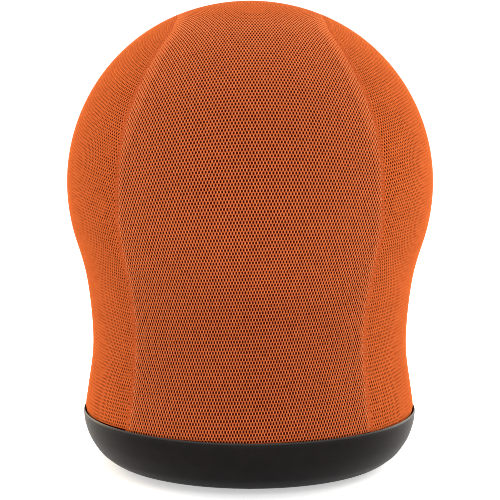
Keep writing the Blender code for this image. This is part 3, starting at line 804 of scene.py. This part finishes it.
    # closed cells against the seam's strip
    c = np.nonzero(~is_open)[0]
    m = len(c)
    q = placed(cu[c], cv[c])
    over = d[c] < EDGE_D + 0.0002
    if over.any():
        flip = np.where(q[:, :1] < 0, (-1.0, 1, 1), (1.0, 1, 1))
        qs = seam_side(q[over])[1]
        q[over] = from_seam(qs, np.full(over.sum(), (EDGE_D + 0.0002) * sign)) * flip[over]
    verts.append(q - normal_at(q) * 0.00035)
    uvs.append(np.stack([cu[c], cv[c]], 1))
    # a low crest mark: painted shade in the sunken middle of a closed cell
    crests.append(np.full(m, 0.2))
    strands.append(np.full(m, 1.5))
    deeps.append(np.full(m, 0.3))
    middle = total + np.arange(m)
    faces_tri.append(np.stack([index[c], index[c][:, nxt],
                               np.repeat(middle[:, None], 8, 1)], 2).reshape(-1, 3))
    tri_row.append(np.repeat(cv[c], 8))
    verts, uvs, crests, strands, deeps = (np.concatenate(a) for a in (verts, uvs, crests, strands, deeps))
    quad, qrow = np.concatenate(faces_quad), np.concatenate(quad_row)
    tri, trow = np.concatenate(faces_tri), np.concatenate(tri_row)
    a, b, c3 = (verts[tri[:, k]] for k in range(3))
    area = np.linalg.norm(np.cross(b - a, c3 - a), axis=1) / 2
    tri, trow = tri[area > 2e-10], trow[area > 2e-10]
    # outward faces
    a, b, c3 = (verts[quad[:50000, k]] for k in range(3))
    out = (np.cross(b - a, c3 - a) * normal_at(a)).sum(1)
    if np.median(out) < 0:
        quad, tri = quad[:, ::-1], tri[:, ::-1]
    normals = vertex_normals(verts, [quad, tri])
    return (verts, quad, qrow, tri, trow, normals, uvs,
            {"crest": crests, "strand": strands, "deep": deeps})


def split(label, made, pieces, replaced, finish=COVER):
    verts, quad, qrow, tri, trow, normals, uvs, marks = made
    rows = np.concatenate([qrow, trow])
    cuts = np.quantile(rows, np.linspace(0, 1, pieces + 1))
    cuts = np.floor(cuts) + 0.5
    cuts[0], cuts[-1] = -1e9, 1e9
    out = []
    for k in range(pieces):
        name = f"{label}_{k + 1}"
        obj = piece_of(name, verts,
                       [quad[(qrow > cuts[k]) & (qrow <= cuts[k + 1])],
                        tri[(trow > cuts[k]) & (trow <= cuts[k + 1])]],
                       normals, uvs, marks)
        finish_with(obj, finish)
        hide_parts(replaced)
        out.append(obj)
    return out


center_weave = Weave(STEP, SKEW_CENTER, True, tilt=TILT_CENTER)
side_weave = Weave(STEP_SIDE, SKEW_SIDE, False, drop=DROP_SIDE)
cover_pieces = split("cover_center_mesh", open_mesh(center_weave, 0, CENTER_CELL, True), 5, "cover_center_panel")
cover_pieces += split("cover_side_mesh_right", open_mesh(side_weave, 1, SIDE_CELL, False), 2,
                      "cover_side_panel_right", SIDE)
cover_pieces += split("cover_side_mesh_left", open_mesh(side_weave, -1, SIDE_CELL, False), 2,
                      "cover_side_panel_left", SIDE)


# ------------------------------------------------------------------ strips beside the seams
def seam_strip(name, side, mirror, half_d, half_s, replaced):
    """The sewn edge of one panel: its rounded turn at the seam, then a chain of holes.
    side is 1 on the center panel's side and -1 on the side panel's."""
    count = round((SEAM_LENGTH - 0.001) / 0.0036)
    pitch = (SEAM_LENGTH - 0.001) / count
    mid = 0.0005 + pitch * (np.arange(count) + 0.5)
    half = pitch / 2
    hole_d = 0.00155           # distance of the chain from the seam
    turns = np.radians([225, 180, 135, 90, 45, 0, 315, 270])
    verts, uvs, crests, strands, deeps, quads = [], [], [], [], [], []
    total = 0
    jitter_s = RNG.uniform(-0.00020, 0.00020, count)
    jitter_d = RNG.uniform(-0.00012, 0.00012, (count, 1))
    size = 1 + RNG.uniform(-0.30, 0.18, count)

    def add(d, s, depth, crest, uv_d=None, deep=0.0):
        nonlocal total
        d, s, depth, crest = np.broadcast_arrays(d, s, depth, crest)
        p = from_seam(s.ravel(), d.ravel() * side)
        verts.append(p - normal_at(p) * depth.reshape(-1, 1))
        uvs.append(np.stack([(d if uv_d is None else np.broadcast_to(uv_d, d.shape)).ravel(),
                             s.ravel()], 1))
        crests.append(crest.ravel())
        strands.append(d.ravel() / 0.0004)
        deeps.append(np.full(d.size, deep))
        first = total
        total += d.size
        return first + np.arange(d.size).reshape(d.shape)

    # points shared along the strip: whole and half steps for each line of distance
    lines = {}
    # the last number of each line is its crest mark: a painted highlight on the crest, painted shade at the bottom of
    # the turn and in the tuck
    for key, d, depth, crest in (("bottom", 0.0, 0.00030, 0.32), ("lip", 0.0006, 0.00012, 0.44),
                                 ("crest", hole_d, 0.00002, 0.54), ("out", 0.0025, 0.00010, 0.46),
                                 ("tuck", 0.0031, 0.00062, 0.15)):
        steps = 0.0005 + pitch * np.arange(count + 1)
        lines[key] = add(d, steps, depth, crest + RNG.uniform(-0.12, 0.12, count + 1))
        if key != "crest":
            lines[key + "_mid"] = add(d, mid, depth, crest + RNG.uniform(-0.12, 0.12, count))
    near, far = slice(0, count), slice(1, count + 1)
    for a, b in (("bottom", "lip"), ("out", "tuck")):
        for x0, x1, y0, y1 in ((lines[a][near], lines[a + "_mid"], lines[b][near], lines[b + "_mid"]),
                               (lines[a + "_mid"], lines[a][far], lines[b + "_mid"], lines[b][far])):
            quads.append(np.stack([x0, x1, y1, y0], 1))
    outer = np.stack([lines["lip"][near], lines["lip_mid"], lines["lip"][far],
                      lines["crest"][far], lines["out"][far], lines["out_mid"],
                      lines["out"][near], lines["crest"][near]], 1)
    cos, sin = np.cos(turns)[None], np.sin(turns)[None]
    ring = []
    # the chain's holes: their crest and deep marks give the walls painted shade
    for inward, down, crest, deep in ((1.0, 0.00036, 0.40, 0.25), (0.92, WALL, 0.2, 1.0)):
        ring.append(add(hole_d + jitter_d + half_d * inward * size[:, None] * cos,
                        (mid + jitter_s)[:, None] + half_s * inward * size[:, None] * sin,
                        down, crest,
                        hole_d + half_d * (inward if inward == 1 else 0.5) * cos * np.ones((count, 1)), deep))
    nxt = np.roll(np.arange(8), -1)
    for a, b in ((outer, ring[0]), (ring[0], ring[1])):
        quads.append(np.stack([a, a[:, nxt], b[:, nxt], b], 2).reshape(-1, 4))
    verts, uvs, crests, strands, deeps = (np.concatenate(a) for a in (verts, uvs, crests, strands, deeps))
    if mirror:
        verts = verts * (-1, 1, 1)
    quads = np.concatenate(quads)
    a, b, c = (verts[quads[:, k]] for k in range(3))
    made = np.cross(b - a, c - a)
    # every face looks outwards, or, in a hole's wall, towards the hole's middle
    if np.median((made[:count] * normal_at(a[:count])).sum(1)) < 0:
        quads[:4 * count] = quads[:4 * count, ::-1]
    rest = slice(4 * count, 12 * count)
    if np.median((made[rest] * normal_at(a[rest])).sum(1)) < 0:
        quads[4 * count:] = quads[4 * count:, ::-1]
    # the strip is long and narrow, so its map is folded into columns
    folds = 12
    span = SEAM_LENGTH / folds
    normals = vertex_normals(verts, [quads])
    obj = mesh_from(name, verts, [quads], normals, None,
                    {"crest": crests, "strand": strands, "deep": deeps})
    layer = obj.data.uv_layers.new(name="OFBake")
    index = np.zeros(len(obj.data.loops), np.int32)
    obj.data.loops.foreach_get("vertex_index", index)
    per_face = index.reshape(-1, 4)
    s_face = uvs[per_face][:, :, 1]
    column = np.clip((s_face.mean(1) / span).astype(int), 0, folds - 1)
    width = 0.0040
    uu = (column[:, None] + 0.06 + 0.88 * uvs[per_face][:, :, 0] / width) / folds
    vv = 0.02 + 0.96 * (s_face - column[:, None] * span) / (span * 1.01)
    layer.data.foreach_set("uv", np.stack([uu, np.clip(vv, 0, 1)], 2).astype(np.float32).ravel())
    finish_with(obj, EDGE)
    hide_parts(replaced)
    return obj


for mirror, label in ((False, "right"), (True, "left")):
    cover_pieces.append(seam_strip(f"seam_edge_center_{label}", 1, mirror,
                                   0.00050, 0.00105, "cover_center_panel"))
    cover_pieces.append(seam_strip(f"seam_edge_side_{label}", -1, mirror,
                                   0.00058, 0.00120, f"cover_side_panel_{label}"))


def stitches(name, mirror):
    """The sewing thread where it crosses the groove between the two panels."""
    count = int(SEAM_LENGTH / 0.0030)
    mid = (np.arange(count) + 0.5) * SEAM_LENGTH / count
    path = np.array([(-0.00078, 0.00060), (-0.00058, 0.00024), (-0.00022, 0.00014), (0.00022, 0.00014),
                     (0.00058, 0.00024), (0.00078, 0.00060)])
    rings, sides, radius = len(path), 6, 0.00017
    s = mid[:, None] + path[:, 0] * 0.55 + RNG.uniform(-0.00015, 0.00015, (count, 1))
    d = np.broadcast_to(path[:, 0], s.shape)
    base = from_seam(s.ravel(), d.ravel())
    n = normal_at(base)
    centre = (base - n * np.tile(path[:, 1], count)[:, None]).reshape(count, rings, 3)
    n = n.reshape(count, rings, 3)
    along = np.gradient(centre, axis=1)
    along /= np.linalg.norm(along, axis=2)[..., None]
    side = np.cross(along, n)
    side /= np.linalg.norm(side, axis=2)[..., None]
    up = np.cross(side, along)
    turn = 2 * np.pi * np.arange(sides) / sides
    verts = (centre[:, :, None] + radius * (np.cos(turn)[:, None] * up[:, :, None]
                                            + np.sin(turn)[:, None] * side[:, :, None])).reshape(-1, 3)
    one = np.arange(rings * sides).reshape(rings, sides)
    after = np.roll(one, -1, axis=1)
    quads = np.stack([one[:-1], after[:-1], after[1:], one[1:]], 2).reshape(-1, 4)
    ends = [one[0][[0, 3, 2, 1]], one[0][[0, 5, 4, 3]], one[-1][[0, 1, 2, 3]], one[-1][[0, 3, 4, 5]]]
    shape = np.concatenate([quads, ends])
    faces = (shape[None] + (np.arange(count) * rings * sides)[:, None, None]).reshape(-1, 4)
    a, b, c = (verts[faces[:len(quads), i]] for i in range(3))
    if np.median((np.cross(b - a, c - a) * (a - np.repeat(centre[0, :-1], sides, 0))).sum(1)) < 0:
        faces = faces[:, ::-1]
        shape = shape[:, ::-1]
    if mirror:
        verts = verts * (-1, 1, 1)
        faces = faces[:, ::-1]
        shape = shape[:, ::-1]
    obj = mesh_from(name, verts, [faces])
    # each stitch has a cell of the map, its tube unrolled
    place = np.stack([shape % sides, shape // sides], 2).astype(float)
    wraps = (place[:, :, 0].max(1) == sides - 1) & (place[:, :, 0].min(1) == 0)
    wraps[len(quads):] = False
    place[:, :, 0] += np.where(wraps[:, None] & (place[:, :, 0] == 0), sides, 0)
    place = 0.1 + 0.8 * place / (sides, rings - 1)
    cell = np.stack([np.arange(count) % 16, np.arange(count) // 16], 1)
    cells = math.ceil(count / 16)
    uv = (place[None] + cell[:, None, None]) / (16, cells)
    obj.data.uv_layers.new(name="OFBake").data.foreach_set("uv", uv.astype(np.float32).ravel())
    return finish_with(sharpen(obj, 50), THREAD)


def allowance_strip(name, mirror):
    """Cloth turned in at the seam, which lies behind the center panel's edge."""
    s = np.linspace(0.0004, SEAM_LENGTH - 0.0004, 330)
    d = np.array([0.0012, 0.003, 0.006, 0.009, 0.012, 0.015, 0.0172, 0.0180])
    ss, dd = np.meshgrid(s, d, indexing="ij")
    wave = 0.0004 * np.sin(ss * 2 * np.pi / 0.061) * (dd > 0.016)
    dd = 0.0012 + (dd - 0.0012) * (allowance_width(ss) - 0.0012) / 0.0168
    p = from_seam(ss.ravel(), (dd + wave).ravel())
    n = normal_at(p)
    top, under = p - n * 0.00098, p - n * 0.00116
    verts = np.concatenate([top, under])
    m, k = len(s), len(d)
    grid = np.arange(m * k).reshape(m, k)
    quads = [np.stack([grid[:-1, :-1], grid[1:, :-1], grid[1:, 1:], grid[:-1, 1:]], 2).reshape(-1, 4)]
    quads.append(quads[0][:, ::-1] + m * k)
    rim = np.concatenate([grid[:, 0], grid[-1, 1:], grid[-2::-1, -1], grid[0, -2:0:-1]])
    after = np.roll(rim, -1)
    quads.append(np.stack([rim, rim + m * k, after + m * k, after], 1))
    quads = np.concatenate(quads)
    if mirror:
        verts = verts * (-1, 1, 1)
        quads = quads[:, ::-1]
    a, b, c = (verts[quads[:200, i]] for i in range(3))
    if np.median((np.cross(b - a, c - a) * normal_at(a)).sum(1)) < 0:
        quads = quads[:, ::-1]
    uv = np.stack([np.tile(dd.ravel() / 0.019, 2) * 0.45 + np.repeat([0.02, 0.52], m * k),
                   np.tile(ss.ravel() / SEAM_LENGTH, 2)], 1)
    obj = mesh_from(name, verts, [quads], None, uv)
    sharpen(obj, 60)
    return finish_with(obj, ALLOWANCE)


allowances = [allowance_strip("seam_allowance_right", False),
              allowance_strip("seam_allowance_left", True),
              stitches("seam_stitches_right", False), stitches("seam_stitches_left", True)]


# ------------------------------------------------------------------ lining, hem, ball
def shell_profile(out, inn, bottom, count):
    """(radius, height) points: the outside from the pole to bottom, then the inside back up."""
    last = float(np.interp(-bottom, -PROFILE[:, 1], PROFILE_S))
    s = np.linspace(0, last, count)
    r, z = np.interp(s, PROFILE_S, PROFILE[:, 0]), np.interp(s, PROFILE_S, PROFILE[:, 1])
    tr, tz = np.interp(s, PROFILE_S, tangent[:, 0]), np.interp(s, PROFILE_S, tangent[:, 1])
    tr[0], tz[0] = 1.0, 0.0
    outside = np.stack([r + tz * out, z - tr * out], 1)
    inside = np.stack([r + tz * inn, z - tr * inn], 1)
    outside[0, 0] = inside[0, 0] = 0.0
    return np.concatenate([outside, inside[::-1]])


lining = turned("cover_lining", shell_profile(LINING, LINING + 0.0005, 0.0600, 150), 200)
finish_with(lining, LINING_FINISH)

outline = clamped_spline([(r, z) for z, r in HEM_OUT], (-0.18, -0.98), 0.0006)
inline = clamped_spline([(r, z) for z, r in HEM_IN], (0.85, 0.5), 0.0006)
hem_points = np.concatenate([outline, inline])
steps = 720
hem = turned("hem_elastic_band", hem_points, steps)
co = np.zeros(len(hem.data.vertices) * 3, np.float32)
hem.data.vertices.foreach_get("co", co)
co = co.reshape(-1, 3).astype(float)
turn = np.arctan2(co[:, 1], co[:, 0])
rib = 0.00010 * np.cos(turn * 360)
on_out = np.arange(len(co)) < len(outline) * steps
away = np.where(on_out, 1.0, -1.0) * rib
co[:, 0] += np.cos(turn) * away
co[:, 1] += np.sin(turn) * away
hem.data.vertices.foreach_set("co", co.astype(np.float32).ravel())
hem.data.update()
finish_with(sharpen(hem, 50), HEM)
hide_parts("hem_band")

BALL_R, BALL_WALL, VALVE_R = 0.2317, 0.0022, 0.0055


def ball_profile():
    """Down the outside with shallow moulded ridges near the poles and a plain belt,
    into the valve's hole, and back up the inside."""
    end = math.pi - math.asin(VALVE_R / BALL_R)
    a = np.concatenate([np.linspace(0, end - 0.10, 330), np.linspace(end - 0.096, end, 24)])
    ridge = np.where((np.degrees(a) > 14) & (np.degrees(a) < 62) | (np.degrees(a) > 118)
                     & (np.degrees(a) < 166), 1.0, 0.0)
    r = BALL_R - 0.0003 * ridge * (0.5 - 0.5 * np.cos(np.degrees(a) * math.pi * 2 / 2.4))
    r += 0.0008 * np.exp(-((a - end) / 0.016) ** 2)
    out = np.stack([r * np.sin(a), BALL_Z + r * np.cos(a)], 1)
    out[0, 0] = 0
    inner = BALL_R - BALL_WALL
    end = math.pi - math.asin(VALVE_R / inner)
    a = np.linspace(end, 0, 60)
    inn = np.stack([inner * np.sin(a), BALL_Z + inner * np.cos(a)], 1)
    inn[-1, 0] = 0
    return np.concatenate([out, inn])


ball = turned("exercise_ball_skin", ball_profile(), 160)
finish_with(sharpen(ball, 40), VINYL)
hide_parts("exercise_ball")

pole = BALL_Z - 0.2322
plug = turned("valve_stopper", [
    (0.0, pole + 0.0046), (0.0036, pole + 0.0046), (0.0042, pole + 0.0044), (0.0046, pole + 0.0036),
    (0.0051, pole + 0.0030), (0.0051, pole + 0.0022), (0.0047, pole + 0.0018), (0.0047, pole + 0.0012),
    (0.0051, pole + 0.0008), (0.0051, pole - 0.0004), (0.0094, pole - 0.0004), (0.0100, pole - 0.0008),
    (0.0099, pole - 0.0016), (0.0094, pole - 0.0022), (0.0070, pole - 0.0023), (0.0064, pole - 0.0019),
    (0.0058, pole - 0.0023), (0.0030, pole - 0.0024), (0.0, pole - 0.0024)], 64, closed=False)
finish_with(sharpen(plug, 45), PLUG)
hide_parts("valve_plug")

# ------------------------------------------------------------------ dish
def smooth_line(points, between):
    return [tuple(p) for p in catmull([tuple(p) for p in points], between)]


lip = [(0.2148, 0.0718), (0.21495, 0.07215), (0.21520, 0.07236), (0.2155, 0.0724)]
dish_out = smooth_line([(r, z) for z, r in DISH_OUT], 5)
dish_in = smooth_line([(r, z) for z, r in DISH_IN], 5)
dish_points = ([(0.0, 0.0065)] + dish_in + lip[1:-1] + dish_out + [(0.0, 0.0035)])
dish = turned("dish_shell", dish_points, 288, closed=False)
cutters = []
for count, circle, turn0, radius, low, high, sides in ((6, 0.145, 30, 0.0126, 0.0005, 0.0050, 64),
                                                       (4, 0.108, 45, 0.0026, -0.002, 0.012, 32)):
    for i in range(count):
        a = math.radians(turn0 + 360 / count * i)
        build = bmesh.new()
        bmesh.ops.create_cone(build, cap_ends=True, segments=sides, radius1=radius,
                              radius2=radius, depth=high - low)
        bmesh.ops.translate(build, verts=build.verts,
                            vec=(circle * math.cos(a), circle * math.sin(a), (low + high) / 2))
        me = bpy.data.meshes.new("cutter")
        build.to_mesh(me)
        build.free()
        cutters.append(bpy.data.objects.new("cutter", me))
joined = bmesh.new()
for c in cutters:
    joined.from_mesh(c.data)
me = bpy.data.meshes.new("dish_holes")
joined.to_mesh(me)
joined.free()
for c in cutters:
    bpy.data.objects.remove(c)
holes = bpy.data.objects.new("dish_holes", me)
bpy.context.scene.collection.objects.link(holes)
cut = dish.modifiers.new("holes", "BOOLEAN")
cut.object, cut.operation, cut.solver = holes, "DIFFERENCE", "EXACT"
bpy.context.view_layer.update()
me = bpy.data.meshes.new_from_object(dish.evaluated_get(bpy.context.evaluated_depsgraph_get()))
dish.modifiers.clear()
dish.data = me
bpy.data.objects.remove(holes)
me.polygons.foreach_set("use_smooth", np.ones(len(me.polygons), bool))
finish_with(sharpen(dish, 32), DISH)
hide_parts("base_dish")

# ------------------------------------------------------------------ shoulders
# the sitter's end of the cover is a little flatter than a ball, and fuller round it
FULL = smoothed_table(((0.05, 0.0), (0.33, 0.0), (0.39, 0.0005), (0.443, 0.0008), (0.494, 0.0011),
                       (0.53, 0.0012), (0.555, 0.0011), (0.575, 0.0006), (0.587, 0.0001),
                       (0.6003, -0.0006)), 0.05, 0.6003, 0.012)
for obj in cover_pieces + allowances + [lining]:
    co = np.zeros(len(obj.data.vertices) * 3, np.float32)
    obj.data.vertices.foreach_get("co", co)
    co = co.reshape(-1, 3).astype(float)
    co += normal_at(co) * np.interp(co[:, 2], *FULL)[:, None]
    obj.data.vertices.foreach_set("co", co.astype(np.float32).ravel())
    obj.data.update()

# ------------------------------------------------------------------ riding
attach(dish, "base")
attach(hem, "swivel")
for obj in cover_pieces + allowances + [lining]:
    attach(obj, "swivel")
    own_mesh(obj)
for obj in (ball, plug):
    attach(obj, "swivel")
    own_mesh(obj)

# ------------------------------------------------------------------ carried-over pieces
FINISHES = {"foot_pad": RUBBER, "base_plate": PAINT, "plate_screw": ZINC, "lower_race": ZINC,
            "upper_race": ZINC, "pivot": ZINC, "ball_cage": BEARING, "spider": PAINT,
            "leg_bolt": ZINC, "leg_": PAINT, "lower_hoop": PAINT, "ball_ring": PAINT,
            "ring_pad": FOAM}
for name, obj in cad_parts.items():
    if obj.hide_render:
        continue
    found = next((m for start, m in FINISHES.items() if name.startswith(start)), None)
    if found is None:
        continue
    obj.data.materials.clear()
    obj.data.materials.append(found)
    obj.data.polygons.foreach_set("use_smooth", np.ones(len(obj.data.polygons), bool))
    weld = obj.modifiers.new("weld", "WELD")
    weld.merge_threshold = 0.00001
    edges = obj.modifiers.new("edges", "EDGE_SPLIT")
    edges.split_angle = math.radians(38)

# ------------------------------------------------------------------ floor, light, camera
floor_mesh = bpy.data.meshes.new("floor")
floor_mesh.from_pydata([(-60, -60, 0), (60, -60, 0), (60, 60, 0), (-60, 60, 0)], [], [(0, 1, 2, 3)])
floor = bpy.data.objects.new("floor", floor_mesh)
bpy.context.scene.collection.objects.link(floor)
pale, tree_a, shader = material("floor_pale", (0.76, 0.76, 0.76), 0.9, Specular_IOR_Level=0.1, Emission_Strength=0.49)
shader.inputs["Emission Color"].default_value = (1.0, 1.0, 1.0, 1.0)
floor_mesh.materials.append(pale)

scene = bpy.context.scene
scene.view_settings.view_transform = "Standard"
scene.view_settings.look = "None"
scene.view_settings.exposure = 0.0
scene.cycles.filter_width = 0.98
world = bpy.data.worlds.new("studio")
scene.world = world
world.use_nodes = True
world.node_tree.nodes["Background"].inputs["Color"].default_value = (1.0, 1.0, 1.0, 1.0)
world.node_tree.nodes["Background"].inputs["Strength"].default_value = 1.0


def softbox(name, place, aim, size, power, tint=(1.0, 1.0, 1.0)):
    light = bpy.data.lights.new(name, "AREA")
    light.shape = "RECTANGLE"
    light.size, light.size_y = size
    light.energy = power
    light.color = tint
    obj = bpy.data.objects.new(name, light)
    obj.location = place
    obj.rotation_mode = "QUATERNION"
    obj.rotation_quaternion = (Vector(aim) - Vector(place)).to_track_quat("-Z", "Y")
    scene.collection.objects.link(obj)
    return obj


softbox("key", (1.1, -2.0, 2.2), (0, 0, 0.3), (1.6, 1.2), 17)
softbox("top", (-0.5, 0.3, 2.6), (0, 0, 0.3), (2.0, 2.0), 33)
softbox("right", (2.1, 1.3, 0.8), (0, 0, 0.3), (1.4, 1.8), 100, (1.0, 0.98, 0.90))
softbox("left", (-2.1, 1.5, 0.8), (0, 0, 0.3), (1.4, 1.8), 96, (1.0, 0.84, 0.62))

camera = bpy.data.cameras.new("camera")
camera.sensor_width = 36
camera.lens = 2177.5 / 500 * 36
camera.clip_start, camera.clip_end = 0.1, 200
eye = bpy.data.objects.new("camera", camera)
eye.location = (-0.0010, -2.795, 0.697)
eye.rotation_euler = (math.radians(90 - 8.527), -0.0028, 0)
scene.collection.objects.link(eye)
scene.camera = eye
